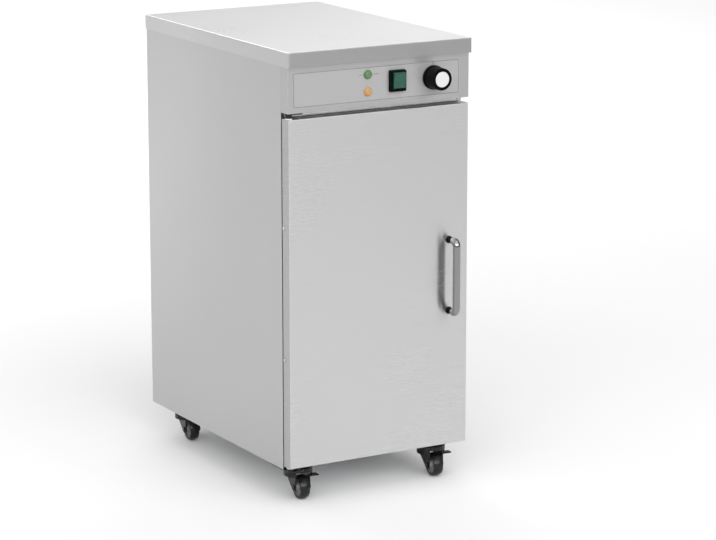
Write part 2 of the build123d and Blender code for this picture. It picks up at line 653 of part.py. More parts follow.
with BuildPart() as catch_magnet:
    slab(MAGNET[0], MAGNET[1], -0.9, 11.5, MAGNET[2], MAGNET[3])
    chamfer(catch_magnet.faces().sort_by(Axis.Y)[0].edges(), length=0.5)
save(catch_magnet, "catch_magnet")

# ================================================================ shell screws
with BuildPart() as body_screws:
    with BuildSketch(xz(BODY_D)):
        with Locations(*[(s * BACK_SCREW_X, z) for s in (-1, 1) for z in BACK_SCREW_Z]):
            Circle(1.95)
    extrude(amount=9)
    with BuildSketch(xz(BODY_D)):
        with Locations(*[(s * BACK_SCREW_X, z) for s in (-1, 1) for z in BACK_SCREW_Z]):
            Circle(3.6)
    extrude(amount=-1.2)
    with BuildSketch(Plane.XY.offset(SHELL_Z0 - BRACKET_T)):
        with Locations(*[(x, Y(y)) for x, y in LOW_HINGE_SCREWS]):
            Circle(1.95)
    extrude(amount=8)
    with BuildSketch(Plane.XY.offset(SHELL_Z0 - BRACKET_T)):
        with Locations(*[(x, Y(y)) for x, y in LOW_HINGE_SCREWS]):
            Circle(3.6)
    extrude(amount=-1.8)
    with BuildSketch(Plane.XY.offset(PANEL_Z0 - 0.05)):
        with Locations(*[(x, Y(y)) for x, y in UP_HINGE_SCREWS]):
            Circle(3.9)
    extrude(amount=-1.95, taper=44)
    with BuildSketch(Plane.XY.offset(PANEL_Z0 - 1)):
        with Locations(*[(x, Y(y)) for x, y in UP_HINGE_SCREWS]):
            Circle(1.95)
    extrude(amount=-7)
    with BuildSketch(xz(BODY_D + 1.3)):
        with Locations(*[(s * BACK_SCREW_X, z) for s in (-1, 1) for z in BACK_SCREW_Z]):
            Rectangle(4.2, 0.9)
            Rectangle(0.9, 4.2)
    extrude(amount=1.0, mode=Mode.SUBTRACT)
    with BuildSketch(Plane.XY.offset(SHELL_Z0 - BRACKET_T - 1.9)):
        with Locations(*[(x, Y(y)) for x, y in LOW_HINGE_SCREWS]):
            Rectangle(4.2, 0.9)
            Rectangle(0.9, 4.2)
    extrude(amount=1.2, mode=Mode.SUBTRACT)
save(body_screws, "body_screws")

# ================================================================ door
HANDLE_SCREW_Z = (HANDLE_Z - HANDLE_CC / 2, HANDLE_Z + HANDLE_CC / 2)
SIDE_SCREW_Z = (289.0, 547.0)
SIDE_SCREW_Y = -8.0
with BuildPart() as door_skin:
    slab(-DW, DW, DOOR_Y0, -3.0, DOOR_Z0, DOOR_Z1)
    fillet(door_skin.faces().sort_by(Axis.Y)[0].edges(), radius=1.5)
    slab(-DW + SHEET, DW - SHEET, DOOR_Y0 + SHEET, 0, DOOR_Z0 + SHEET, DOOR_Z1 - SHEET, mode=Mode.SUBTRACT)
    with BuildSketch(xz(DOOR_Y0 + 5)):
        with Locations(*[(HANDLE_X, z) for z in HANDLE_SCREW_Z]):
            Circle(2.55)
    extrude(amount=10, mode=Mode.SUBTRACT)
    with BuildSketch(Plane.XY.offset(DOOR_Z0 - 5)):
        with Locations((HINGE_X, Y(HINGE_Y))):
            Circle(6.02)
    extrude(amount=DOOR_Z1 - DOOR_Z0 + 10, mode=Mode.SUBTRACT)
    with BuildSketch(Plane.YZ.offset(-DW - 2)):
        with Locations(*[(Y(SIDE_SCREW_Y), z) for z in SIDE_SCREW_Z]):
            Circle(2.02)
    extrude(amount=DOOR_W + 4, mode=Mode.SUBTRACT)
save(door_skin, "door_skin")

with BuildPart() as door_inner_panel:
    slab(-DW + 1.1, DW - 1.1, -15.0, DOOR_Y1, DOOR_Z0 + 1.1, DOOR_Z1 - 1.1)
    slab(-DW + 2.1, DW - 2.1, -16.0, DOOR_Y1 - 1.0, DOOR_Z0 + 2.1, DOOR_Z1 - 2.1, mode=Mode.SUBTRACT)
    with BuildSketch(Plane.XY.offset(DOOR_Z0 - 5)):
        with Locations((HINGE_X, Y(HINGE_Y))):
            Circle(6.3)
    extrude(amount=DOOR_Z1 - DOOR_Z0 + 10, mode=Mode.SUBTRACT)
    with BuildSketch(Plane.YZ.offset(-DW - 2)):
        with Locations(*[(Y(SIDE_SCREW_Y), z) for z in SIDE_SCREW_Z]):
            Circle(2.02)
    extrude(amount=DOOR_W + 4, mode=Mode.SUBTRACT)
save(door_inner_panel, "door_inner_panel")

with BuildPart() as door_core:
    slab(-183.6, 187.0, DOOR_Y0 + 1.2, DOOR_Y1 - 1.2, DOOR_Z0 + 2.5, DOOR_Z1 - 2.5)
    with BuildSketch(xz(DOOR_Y0 + 8)):
        with Locations(*[(HANDLE_X, z) for z in HANDLE_SCREW_Z]):
            Circle(6)
    extrude(amount=10, mode=Mode.SUBTRACT)
save(door_core, "door_core")

with BuildPart() as door_gasket:
    with BuildSketch(xz(-1.3)):
        with Locations((0, 416)):
            RectangleRounded(372, 660, 6)
            RectangleRounded(344, 632, 3, mode=Mode.SUBTRACT)
    extrude(amount=1.2)
    with BuildSketch(xz(0.7)):
        with Locations((0, 416)):
            RectangleRounded(365, 653, 4)
            RectangleRounded(351, 639, 3, mode=Mode.SUBTRACT)
    extrude(amount=2.1)
save(door_gasket, "door_gasket")

with BuildPart() as hinge_bushes:
    for z, s in ((DOOR_Z0, 1), (DOOR_Z1, -1)):
        with BuildSketch(Plane.XY.offset(z)):
            with Locations((HINGE_X, Y(HINGE_Y))):
                Circle(7.0)
        extrude(amount=-1.5 * s)
        with BuildSketch(Plane.XY.offset(z)):
            with Locations((HINGE_X, Y(HINGE_Y))):
                Circle(6.0)
        extrude(amount=18 * s)
    with BuildSketch(Plane.XY.offset(DOOR_Z0 - 5)):
        with Locations((HINGE_X, Y(HINGE_Y))):
            Circle(HINGE_BORE_R)
    extrude(amount=DOOR_Z1 - DOOR_Z0 + 10, mode=Mode.SUBTRACT)
save(hinge_bushes, "hinge_bushes")

with BuildPart() as door_side_screws:
    for s in (-1, 1):
        x0 = s * DW
        with BuildSketch(Plane.YZ.offset(x0)):
            with Locations(*[(Y(SIDE_SCREW_Y), z) for z in SIDE_SCREW_Z]):
                Circle(3.3)
        extrude(amount=2.0 * s)
        with BuildSketch(Plane.YZ.offset(x0)):
            with Locations(*[(Y(SIDE_SCREW_Y), z) for z in SIDE_SCREW_Z]):
                Circle(2.0)
        extrude(amount=-8.5 * s)
    fillet(door_side_screws.faces().filter_by(Axis.X).sort_by(Axis.X)[:2].edges()
           + door_side_screws.faces().filter_by(Axis.X).sort_by(Axis.X)[-2:].edges(), radius=0.8)
    for s in (-1, 1):
        with BuildSketch(Plane.YZ.offset(s * (DW + 2.1))):
            with Locations(*[(Y(SIDE_SCREW_Y), z) for z in SIDE_SCREW_Z]):
                Rectangle(3.6, 0.8)
                Rectangle(0.8, 3.6)
        extrude(amount=-1.2 * s, mode=Mode.SUBTRACT)
save(door_side_screws, "door_side_screws")

# handle: bent round bar on two black stand-offs, each held by a screw through the door sheet
GRIP_Y = DOOR_Y0 - HANDLE_OUT
LEG_Y = DOOR_Y0 - POST_L
with BuildPart() as handle_posts:
    with BuildSketch(xz(DOOR_Y0)):
        with Locations(*[(HANDLE_X, z) for z in HANDLE_SCREW_Z]):
            Circle(POST_R + 1.5)
    extrude(amount=2.4, taper=20)
    with BuildSketch(xz(DOOR_Y0)):
        with Locations(*[(HANDLE_X, z) for z in HANDLE_SCREW_Z]):
            Circle(POST_R)
    extrude(amount=POST_L)
    with BuildSketch(xz(DOOR_Y0 + 1)):
        with Locations(*[(HANDLE_X, z) for z in HANDLE_SCREW_Z]):
            Circle(2.5)
    extrude(amount=20, mode=Mode.SUBTRACT)
save(handle_posts, "handle_posts")

with BuildPart() as handle_grip:
    with BuildLine(Plane.YZ.offset(HANDLE_X)):
        FilletPolyline((Y(LEG_Y), HANDLE_SCREW_Z[0]), (Y(GRIP_Y), HANDLE_SCREW_Z[0]),
                       (Y(GRIP_Y), HANDLE_SCREW_Z[1]), (Y(LEG_Y), HANDLE_SCREW_Z[1]), radius=GRIP_BEND)
    with BuildSketch(xz(LEG_Y)):
        with Locations((HANDLE_X, HANDLE_SCREW_Z[0])):
            Circle(GRIP_D / 2)
    sweep()
    chamfer(handle_grip.faces().sort_by(Axis.Y)[-2:].edges(), length=0.8)
    with BuildSketch(xz(LEG_Y + 1)):
        with Locations(*[(HANDLE_X, z) for z in HANDLE_SCREW_Z]):
            Circle(2.5)
    extrude(amount=9.5, mode=Mode.SUBTRACT)
save(handle_grip, "handle_grip")

with BuildPart() as handle_screws:
    with BuildSketch(xz(DOOR_Y0 + SHEET)):
        with Locations(*[(HANDLE_X, z) for z in HANDLE_SCREW_Z]):
            Circle(2.45)
    extrude(amount=SHEET + POST_L + 7.5)
    with BuildSketch(xz(DOOR_Y0 + SHEET)):
        with Locations(*[(HANDLE_X, z) for z in HANDLE_SCREW_Z]):
            Circle(4.6)
    extrude(amount=-3)
save(handle_screws, "handle_screws")

with BuildPart() as catch_strike:
    slab(163.4, 171.4, DOOR_Y1, DOOR_Y1 + 1.3, MAGNET[2] - 3, MAGNET[3] + 3)
    chamfer(catch_strike.faces().sort_by(Axis.Y)[-1].edges(), length=0.3)
save(catch_strike, "catch_strike")

# ================================================================ casters
RACE_Z = 62.0


with BuildPart() as caster_plates:
    for cx, cy in CASTERS.values():
        with BuildSketch(Plane.XY.offset(CASTER_TOP - 2.5)):
            with Locations((cx, Y(cy))):
                RectangleRounded(PLATE, PLATE, 4)
        extrude(amount=2.5)
        with BuildSketch(Plane.XY.offset(CASTER_TOP - 2.5)):
            with Locations((cx, Y(cy))):
                Circle(21.0)
        extrude(amount=-(CASTER_TOP - 2.5 - RACE_Z), taper=-12)
        with BuildSketch(Plane.XY.offset(RACE_Z)):
            with Locations((cx, Y(cy))):
                Circle(KINGPIN_R)
        extrude(amount=-9)
        with BuildSketch(Plane.XY.offset(53.6)):
            with Locations((cx, Y(cy))):
                Circle(6.5)
        extrude(amount=-1.7)
    with BuildSketch(Plane.XY.offset(CASTER_TOP + 1)):
        with Locations(*BOLT_XY):
            Circle(2.55)
    extrude(amount=-4, mode=Mode.SUBTRACT)
save(caster_plates, "caster_plates")

with BuildPart() as caster_bolts:
    with BuildSketch(Plane.XY.offset(CASTER_TOP - 2.5)):
        with Locations(*BOLT_XY):
            Circle(4.1)
    extrude(amount=-2.6)
    fillet(caster_bolts.faces().sort_by(Axis.Z)[:16].edges(), radius=1.0)
    with BuildSketch(Plane.XY.offset(CASTER_TOP - 3)):
        with Locations(*BOLT_XY):
            Circle(2.5)
    extrude(amount=10)
    with BuildSketch(Plane.XY.offset(CASTER_TOP + 1.5)):
        with Locations(*BOLT_XY):
            RegularPolygon(4.6, 6)
    extrude(amount=3.6)
save(caster_bolts, "caster_bolts")

turn = math.radians(CASTER_TURN)
EX = Vector(math.cos(turn), math.sin(turn), 0)       # along the axles
EY = Vector(-math.sin(turn), math.cos(turn), 0)      # against the trail
WHEEL_Z = WHEEL_R
LEG_IN, LEG_OUT = 13.5, 16.0
BRAKE_P = (9.0, 47.0)                                # brake pin, along EY and up


def cross_plane(cx, cy, at):
    """Plane across the axle, at the given distance along it."""
    o = Vector(cx, Y(cy), 0) + EX * at
    return Plane(origin=(o.X, o.Y, 0), x_dir=(EY.X, EY.Y, 0), z_dir=(EX.X, EX.Y, 0))


def caster_fork(key, brake):
    """Pressed fork: dished head, two legs that narrow to the axle, axle with a hexagon at each end."""
    cx, cy = CASTERS[key]
    with BuildPart() as p:
        with BuildSketch(Plane.XY.offset(RACE_Z - 0.2)):
            with Locations((cx, Y(cy))):
                Circle(CROWN_R)
        extrude(amount=-4.0)
        with BuildSketch(Plane.XY.offset(RACE_Z - 4.1)):
            with Locations((cx, Y(cy))):
                Circle(22.0)
        extrude(amount=-4.1, taper=38)
        with BuildSketch(Plane.XY.offset(RACE_Z - 4.0)):
            with Locations((cx, Y(cy))):
                Circle(CROWN_R)
                Circle(CROWN_R - 2.5, mode=Mode.SUBTRACT)
        extrude(amount=-(RACE_Z - 4.0 - SKIRT_Z))
        with BuildSketch(cross_plane(cx, cy, -LEG_IN)):
            with Locations((0, SKIRT_Z + 3.0)):
                Rectangle(70, 11.6)
        extrude(amount=2 * LEG_IN, mode=Mode.SUBTRACT)
        for a in (-LEG_OUT, LEG_IN):
            with BuildSketch(cross_plane(cx, cy, a)):
                with Locations((-TRAIL, WHEEL_Z)):
                    Circle(8.5)
                with Locations((0, 50.5)):
                    Rectangle(45, 16)
                make_hull()
            extrude(amount=LEG_OUT - LEG_IN)
        with BuildSketch(cross_plane(cx, cy, -LEG_OUT - 2.2)):
            with Locations((-TRAIL, WHEEL_Z)):
                RegularPolygon(5.6, 6)
        extrude(amount=2.2)
        with BuildSketch(cross_plane(cx, cy, LEG_OUT)):
            with Locations((-TRAIL, WHEEL_Z)):
                RegularPolygon(5.6, 6)
        extrude(amount=2.2)
        with BuildSketch(cross_plane(cx, cy, -LEG_OUT)):
            with Locations((-TRAIL, WHEEL_Z)):
                Circle(AXLE_R)
        extrude(amount=2 * LEG_OUT)
        with BuildSketch(Plane.XY.offset(RACE_Z)):
            with Locations((cx, Y(cy))):
                Circle(KINGPIN_R + 0.06)
        extrude(amount=-12, mode=Mode.SUBTRACT)
        if brake:
            with BuildSketch(cross_plane(cx, cy, -LEG_OUT - 1)):
                with Locations(BRAKE_P):
                    Circle(2.06)
            extrude(amount=2 * LEG_OUT + 2, mode=Mode.SUBTRACT)
            with BuildSketch(cross_plane(cx, cy, LEG_OUT + 0.05)):
                with Locations((-15.5, 46.0)):
                    Rectangle(20, 11)
            extrude(amount=16, mode=Mode.SUBTRACT)
    save(p, "caster_fork_" + key)
    return p


def caster_wheel(key):
    """Tyre, recessed web and hub, bored for the axle."""
    cx, cy = CASTERS[key]
    o = Vector(cx, Y(cy), WHEEL_Z) - EY * TRAIL
    across = Plane(origin=(o.X, o.Y, o.Z), x_dir=(EX.X, EX.Y, 0), z_dir=(-EY.X, -EY.Y, 0))
    h = WHEEL_W / 2
    with BuildPart() as p:
        with BuildSketch(across):
            with BuildLine():
                Polyline((-13.2, 3.06), (13.2, 3.06), (13.2, 7.5), (6.5, 8.5), (5.5, 16.0), (h, 17.4), (h, 21.6))
                ThreePointArc((h, 21.6), (0, WHEEL_R), (-h, 21.6))
                Polyline((-h, 21.6), (-h, 17.4), (-5.5, 16.0), (-6.5, 8.5), (-13.2, 7.5), (-13.2, 3.06))
            make_face()
        revolve(axis=Axis((o.X, o.Y, o.Z), (EX.X, EX.Y, 0)), revolution_arc=360)
    save(p, "caster_wheel_" + key)
    return p


def caster_brake(key):
    """Side lever on a cross pin, its shoe over the tyre."""
    cx, cy = CASTERS[key]
    py, pz = BRAKE_P
    with BuildPart() as p:
        with BuildSketch(cross_plane(cx, cy, -LEG_OUT - 1.6)):
            with Locations(BRAKE_P):
                Circle(2.0)
        extrude(amount=2 * LEG_OUT + 4.0)
        with BuildSketch(cross_plane(cx, cy, -LEG_OUT - 1.8)):
            with Locations(BRAKE_P):
                Circle(3.4)
        extrude(amount=1.4)
        with BuildSketch(cross_plane(cx, cy, -7)):
            with BuildLine():
                Polyline((py + 2.2, pz - 0.6), (py + 2.2, pz + 2.2), (0.0, 50.2), (-6.6, 51.4), (-19.0, 52.6),
                         (-19.0, 50.9), (-6.8, 49.8), (0.0, 48.4), (py - 2.2, pz - 0.2), (py + 2.2, pz - 0.6))
            make_face()
        extrude(amount=14)
        with BuildSketch(cross_plane(cx, cy, LEG_OUT + 0.3)):
            with BuildLine():
                Polyline((py + 4.5, pz - 4), (py + 4.5, pz + 3.2), (-4, pz + 1.6), (-22, pz - 0.4), (-22, pz - 3.4),
                         (-4, pz - 2.6), (py + 4.5, pz - 4))
            make_face()
        extrude(amount=2.2)
        with BuildSketch(cross_plane(cx, cy, LEG_OUT + 0.3)):
            with BuildLine():
                Polyline((-8, pz - 0.7), (-22, pz - 0.4), (-23.5, pz - 1.6), (-22, pz - 2.9), (-8, pz - 3.2), (-8, pz - 0.7))
            make_face()
        extrude(amount=18.5)
    save(p, "caster_brake_" + key)
    return p


FORKS = {k: caster_fork(k, k[0] == "f") for k in CASTERS}
WHEELS = {k: caster_wheel(k) for k in CASTERS}
BRAKES = {k: caster_brake(k) for k in ("fl", "fr")}
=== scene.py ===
import json
import math
import random

import bmesh
import bpy
from mathutils import Matrix, Vector

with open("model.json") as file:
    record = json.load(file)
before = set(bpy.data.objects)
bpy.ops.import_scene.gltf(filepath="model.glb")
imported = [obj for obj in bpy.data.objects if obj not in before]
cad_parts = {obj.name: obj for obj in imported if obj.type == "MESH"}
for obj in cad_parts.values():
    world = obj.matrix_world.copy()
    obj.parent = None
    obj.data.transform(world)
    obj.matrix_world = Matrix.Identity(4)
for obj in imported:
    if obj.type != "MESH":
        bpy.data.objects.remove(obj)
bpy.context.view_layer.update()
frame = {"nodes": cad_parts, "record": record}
nodes = frame["nodes"]
scene = bpy.context.scene
MM = 0.001
Y_MID = 260.75


def P(x, v, z):
    """Row-frame point of body coordinates in mm: v is the distance behind the body's front plane."""
    return Vector((x * MM, (v - Y_MID) * MM, z * MM))


# ================================================================ camera
cam_data = bpy.data.cameras.new("camera")
cam = bpy.data.objects.new("camera", cam_data)
scene.collection.objects.link(cam)
cam_data.sensor_width = 36.0
cam_data.lens = 145.36
cam_data.clip_start, cam_data.clip_end = 0.1, 100.0
cam.location = (-2.7612, -4.9756, 1.6956)
cam.rotation_euler = (math.radians(90 - 12.93), math.radians(0.03), math.radians(-30.07))
scene.camera = cam

# ================================================================ floor, world and lights
scene.view_settings.view_transform = "Standard"
scene.view_settings.look = "None"


class Graph:
    """A material's or the world's node tree, with short calls for the few nodes used here."""

    def __init__(self, owner):
        owner.use_nodes = True
        self.t = owner.node_tree
        self.t.nodes.clear()

    def new(self, kind, **props):
        n = self.t.nodes.new(kind)
        for k, v in props.items():
            setattr(n, k, v)
        return n

    def put(self, socket, value):
        if isinstance(value, bpy.types.NodeSocket):
            self.t.links.new(value, socket)
        else:
            socket.default_value = value

    def coords(self, scale=(1, 1, 1), rot=(0, 0, 0), loc=(0, 0, 0), kind="Object"):
        c = self.new("ShaderNodeTexCoord")
        m = self.new("ShaderNodeMapping")
        self.put(m.inputs["Vector"], c.outputs[kind])
        m.inputs["Scale"].default_value = scale
        m.inputs["Rotation"].default_value = rot
        m.inputs["Location"].default_value = loc
        return m.outputs["Vector"]

    def noise(self, vec, scale=1.0, detail=2.0, rough=0.5):
        n = self.new("ShaderNodeTexNoise")
        self.put(n.inputs["Vector"], vec)
        n.inputs["Scale"].default_value = scale
        n.inputs["Detail"].default_value = detail
        n.inputs["Roughness"].default_value = rough
        return n.outputs["Fac"]

    def ranged(self, v, a, b, c, d, smooth=False):
        n = self.new("ShaderNodeMapRange")
        if smooth:
            n.interpolation_type = "SMOOTHSTEP"
        self.put(n.inputs["Value"], v)
        for i, x in zip(("From Min", "From Max", "To Min", "To Max"), (a, b, c, d)):
            self.put(n.inputs[i], x)
        return n.outputs["Result"]

    def math(self, op, a, b=0.0, clamp=False):
        n = self.new("ShaderNodeMath", operation=op, use_clamp=clamp)
        self.put(n.inputs[0], a)
        self.put(n.inputs[1], b)
        return n.outputs[0]

    def mix(self, fac, a, b, blend="MIX"):
        n = self.new("ShaderNodeMix", data_type="RGBA", blend_type=blend)
        self.put(n.inputs[0], fac)
        for i, v in ((6, a), (7, b)):
            if isinstance(v, (tuple, list)) and len(v) == 3:
                v = (*v, 1.0)
            self.put(n.inputs[i], v)
        return n.outputs[2]

    def bump(self, height, strength, distance, normal=None):
        n = self.new("ShaderNodeBump")
        self.put(n.inputs["Height"], height)
        n.inputs["Strength"].default_value = strength
        n.inputs["Distance"].default_value = distance
        if normal is not None:
            self.put(n.inputs["Normal"], normal)
        return n.outputs["Normal"]


def principled(name):
    m = bpy.data.materials.new(name)
    g = Graph(m)
    out = g.new("ShaderNodeOutputMaterial")
    b = g.new("ShaderNodeBsdfPrincipled")
    g.put(out.inputs["Surface"], b.outputs[0])
    return m, g, b


def shade(c, k):
    return tuple(min(1.0, max(0.0, x * k)) for x in c[:3])


# ---------------------------------------------------------------- world: upright soft boxes at compass angles (0 is +x, 90 is behind the cabinet)
WORLD = {90: 1.650, 225: 6.158, 270: 6.668}
ZENITH = 0.505
world = bpy.data.worlds.new("studio")
scene.world = world
g = Graph(world)
tc = g.new("ShaderNodeTexCoord")
sep = g.new("ShaderNodeSeparateXYZ")
g.put(sep.inputs[0], tc.outputs["Generated"])
sx, sy, sz = sep.outputs
overhead = g.ranged(sz, 0.15, 0.85, 0.0, 1.0, smooth=True)
around = g.math("MULTIPLY", g.math("SUBTRACT", 1.0, overhead), g.ranged(sz, 0.16, 0.40, 0.0, 1.0, smooth=True))
flat = g.math("ADD", g.math("MULTIPLY", sx, sx), g.math("ADD", g.math("MULTIPLY", sy, sy), 1e-4))


def wall(g, degrees, strength):
    """One soft box: bright along its own angle, gone a right angle away from it."""
    a = math.radians(degrees)
    p = g.math("ADD", g.math("MULTIPLY", sx, math.cos(a)), g.math("MULTIPLY", sy, math.sin(a)))
    p = g.math("MAXIMUM", p, 0.0)
    p2 = g.math("DIVIDE", g.math("MULTIPLY", p, p), flat)
    return g.math("MULTIPLY", g.math("MULTIPLY", p2, p2), strength)


walls = None
for degrees, strength in WORLD.items():
    one = wall(g, degrees, strength)
    walls = one if walls is None else g.math("ADD", walls, one)
level = g.math("ADD", g.math("MULTIPLY", around, walls), g.math("MULTIPLY", overhead, ZENITH))
bg = g.new("ShaderNodeBackground")
bg.inputs["Color"].default_value = (1, 1, 1, 1)
g.put(bg.inputs["Strength"], level)
wout = g.new("ShaderNodeOutputWorld")
g.put(wout.inputs["Surface"], bg.outputs[0])

floor_mesh = bpy.data.meshes.new("floor")
bm = bmesh.new()
bmesh.ops.create_grid(bm, x_segments=8, y_segments=8, size=400.0)
bm.to_mesh(floor_mesh)
bm.free()
floor = bpy.data.objects.new("floor", floor_mesh)
scene.collection.objects.link(floor)
m, g, b = principled("floor_pale")
cloud = g.noise(g.coords((0.8, 0.8, 0.8)), 1.0, 3.0)
g.put(b.inputs["Base Color"], g.mix(cloud, (0.86, 0.86, 0.86), (0.885, 0.885, 0.885)))
g.put(b.inputs["Roughness"], g.ranged(cloud, 0.3, 0.7, 0.72, 0.8))
b.inputs["Specular IOR Level"].default_value = 0.2
floor_mesh.materials.append(m)


def area(name, loc, target, size, radiance, size_y=None):
    d = bpy.data.lights.new(name, "AREA")
    d.shape = "RECTANGLE"
    d.size, d.size_y = size, size_y or size
    d.energy = radiance * math.pi * d.size * d.size_y
    o = bpy.data.objects.new(name, d)
    o.visible_camera = False
    scene.collection.objects.link(o)
    o.location = loc
    o.rotation_euler = (Vector(target) - Vector(loc)).to_track_quat("-Z", "Y").to_euler()
    return o


area("front_top_box", (0.0, -1.3, 2.6), (0, -1.1, 0), 1.4, 1.455)
area("right_floor_box", (0.9, -1.5, 2.2), (0.9, -1.5, 0), 1.2, 0.8)
area("back_floor_box", (1.2, 5.0, 4.0), (1.0, 4.0, 0), 5.0, 1.448)
area("left_floor_box", (-2.0, 2.6, 2.2), (-2.0, 2.6, 0), 1.6, 1.642)
area("left_back_strip", (-0.9, 1.7, 1.1), (-0.2, 0.1, 0.9), 0.25, 0.2, 2.0)

# ================================================================ materials


AX = {"x": (1.0, 0.0, 0.0), "y": (0.0, 1.0, 0.0), "z": (0.0, 0.0, 1.0)}


def vmath(g, op, a, b=None, scale=None, out=0):
    n = g.new("ShaderNodeVectorMath", operation=op)
    g.put(n.inputs[0], a)
    if b is not None:
        g.put(n.inputs[1], b)
    if scale is not None:
        g.put(n.inputs["Scale"], scale)
    return n.outputs[out]


def brushed(name, colour, rough, grain, tone=0.009, deep=0.16, cloud_amount=0.02, aniso=0.95, painted_face_shade=(1.0, 1.0, 1.0), metal=1.0,
            printed=None):
    """Satin sheet. grain gives the brushing direction on faces that look along x, y and z, as the sheet is folded;
    the three face factors give a tone for each of those faces, painted light and shade for how light falls on each
    face."""
    m, g, b = principled(name)
    tc = g.new("ShaderNodeTexCoord")
    pos = tc.outputs["Object"]
    face = g.new("ShaderNodeSeparateXYZ")
    g.put(face.inputs[0], vmath(g, "ABSOLUTE", tc.outputs["Normal"]))
    along = g.new("ShaderNodeMix", data_type="VECTOR")
    g.put(along.inputs[0], g.math("GREATER_THAN", face.outputs[1], 0.7))
    along.inputs[4].default_value, along.inputs[5].default_value = AX[grain[2]], AX[grain[1]]
    along2 = g.new("ShaderNodeMix", data_type="VECTOR")
    g.put(along2.inputs[0], g.math("GREATER_THAN", face.outputs[0], 0.7))
    g.put(along2.inputs[4], along.outputs[1])
    along2.inputs[5].default_value = AX[grain[0]]
    way = along2.outputs[1]
    run = vmath(g, "DOT_PRODUCT", pos, way, out=1)

    def stretched(quick, slow):
        lengthwise = vmath(g, "SCALE", way, scale=g.math("MULTIPLY", run, quick - slow))
        return vmath(g, "SUBTRACT", vmath(g, "SCALE", pos, scale=quick), lengthwise)

    f = g.noise(stretched(1500.0, 9.0), 1.0, 3.0, 0.6)
    w = g.noise(stretched(170.0, 1.6), 1.0, 2.0, 0.5)
    c = g.noise(g.coords((3.1, 3.1, 3.1)), 1.0, 3.0, 0.55)
    both = g.math("ADD", g.math("MULTIPLY", f, 0.94), g.math("MULTIPLY", w, 0.06))
    col = g.mix(both, shade(colour, 1 - tone * 2), shade(colour, 1 + tone * 2))
    col = g.mix(g.ranged(c, 0.3, 0.7, 0.0, cloud_amount * 6), col, shade(colour, 0.93))
    # Painted light and shade: the colour of faces that look along x, y and z is scaled by its own factor, lighter or
    # darker by how light falls on that face.
    if painted_face_shade != (1.0, 1.0, 1.0):
        tx, ty, tz = painted_face_shade
        flank = g.math("GREATER_THAN", face.outputs[0], 0.7)
        front = g.math("GREATER_THAN", face.outputs[1], 0.7)
        k = g.math("ADD", g.math("MULTIPLY", flank, tx - tz), g.math("MULTIPLY", front, ty - tz))
        col = vmath(g, "SCALE", col, scale=g.math("ADD", k, tz))
    if printed is not None:
        col = g.mix(printed(g, pos), col, (0.10, 0.10, 0.105))
    g.put(b.inputs["Base Color"], col)
    b.inputs["Metallic"].default_value = metal
    r = g.ranged(both, 0.25, 0.75, rough - 0.006, rough + 0.006)
    r = g.math("ADD", r, g.ranged(c, 0.3, 0.7, -0.005, 0.006))
    g.put(b.inputs["Roughness"], r)
    b.inputs["Anisotropic"].default_value = aniso
    turned = g.new("ShaderNodeVectorTransform", vector_type="VECTOR", convert_from="OBJECT", convert_to="WORLD")
    g.put(turned.inputs[0], vmath(g, "CROSS_PRODUCT", tc.outputs["Normal"], way))
    g.put(b.inputs["Tangent"], turned.outputs[0])
    g.put(b.inputs["Normal"], g.bump(f, deep, 0.00002))
    return m


def overlay_print(g, pos):
    """The fine line round the control strip, the dash on each side of the upper lamp and the knob's index."""
    c = g.new("ShaderNodeSeparateXYZ")
    g.put(c.inputs[0], pos)
    x, z = c.outputs[0], c.outputs[2]

    def off(v, middle, half):
        return g.math("SUBTRACT", g.math("ABSOLUTE", g.math("SUBTRACT", v, middle * MM)), half * MM)

    def block(cx, cz, hx, hz):
        return g.math("LESS_THAN", g.math("MAXIMUM", off(x, cx, hx), off(z, cz, hz)), 0.0)

    qx, qz = off(x, -5.6, 182.9 - 1.4 - 3.0), off(z, 811.75, 33.25 - 1.4 - 3.0)
    px, pz = g.math("MAXIMUM", qx, 0.0), g.math("MAXIMUM", qz, 0.0)
    corner = g.math("SQRT", g.math("ADD", g.math("MULTIPLY", px, px), g.math("MULTIPLY", pz, pz)))
    inner = g.math("MINIMUM", g.math("MAXIMUM", qx, qz), 0.0)
    dist = g.math("SUBTRACT", g.math("ADD", corner, inner), 3.0 * MM)
    line = g.math("MULTIPLY", g.math("LESS_THAN", g.math("ABSOLUTE", dist), 0.6 * MM), 0.62)
    marks = g.math("MAXIMUM", block(-9.5, 830.0, 6.5, 0.55), block(-42.0, 830.0, 4.0, 0.45))
    marks = g.math("MAXIMUM", marks, block(118.2, 840.6, 0.8, 2.2))
    return g.math("MAXIMUM", line, g.math("MULTIPLY", marks, 0.85))


def plastic(name, colour, rough, coat=0.0, grit=900.0, deep=0.2, size=0.00004, spread=0.04, spec=0.5):
    """Moulded plastic: fine spark texture, slight sheen changes."""
    m, g, b = principled(name)
    n = g.noise(g.coords((grit,) * 3), 1.0, 2.0, 0.6)
    c = g.noise(g.coords((22, 22, 22)), 1.0, 3.0, 0.6)
    g.put(b.inputs["Base Color"], g.mix(c, shade(colour, 0.85), shade(colour, 1.2)))
    g.put(b.inputs["Roughness"], g.ranged(c, 0.3, 0.7, rough - spread, rough + spread))
    b.inputs["Specular IOR Level"].default_value = spec
    b.inputs["Coat Weight"].default_value = coat
    b.inputs["Coat Roughness"].default_value = 0.12
    g.put(b.inputs["Normal"], g.bump(n, deep, size))
    return m


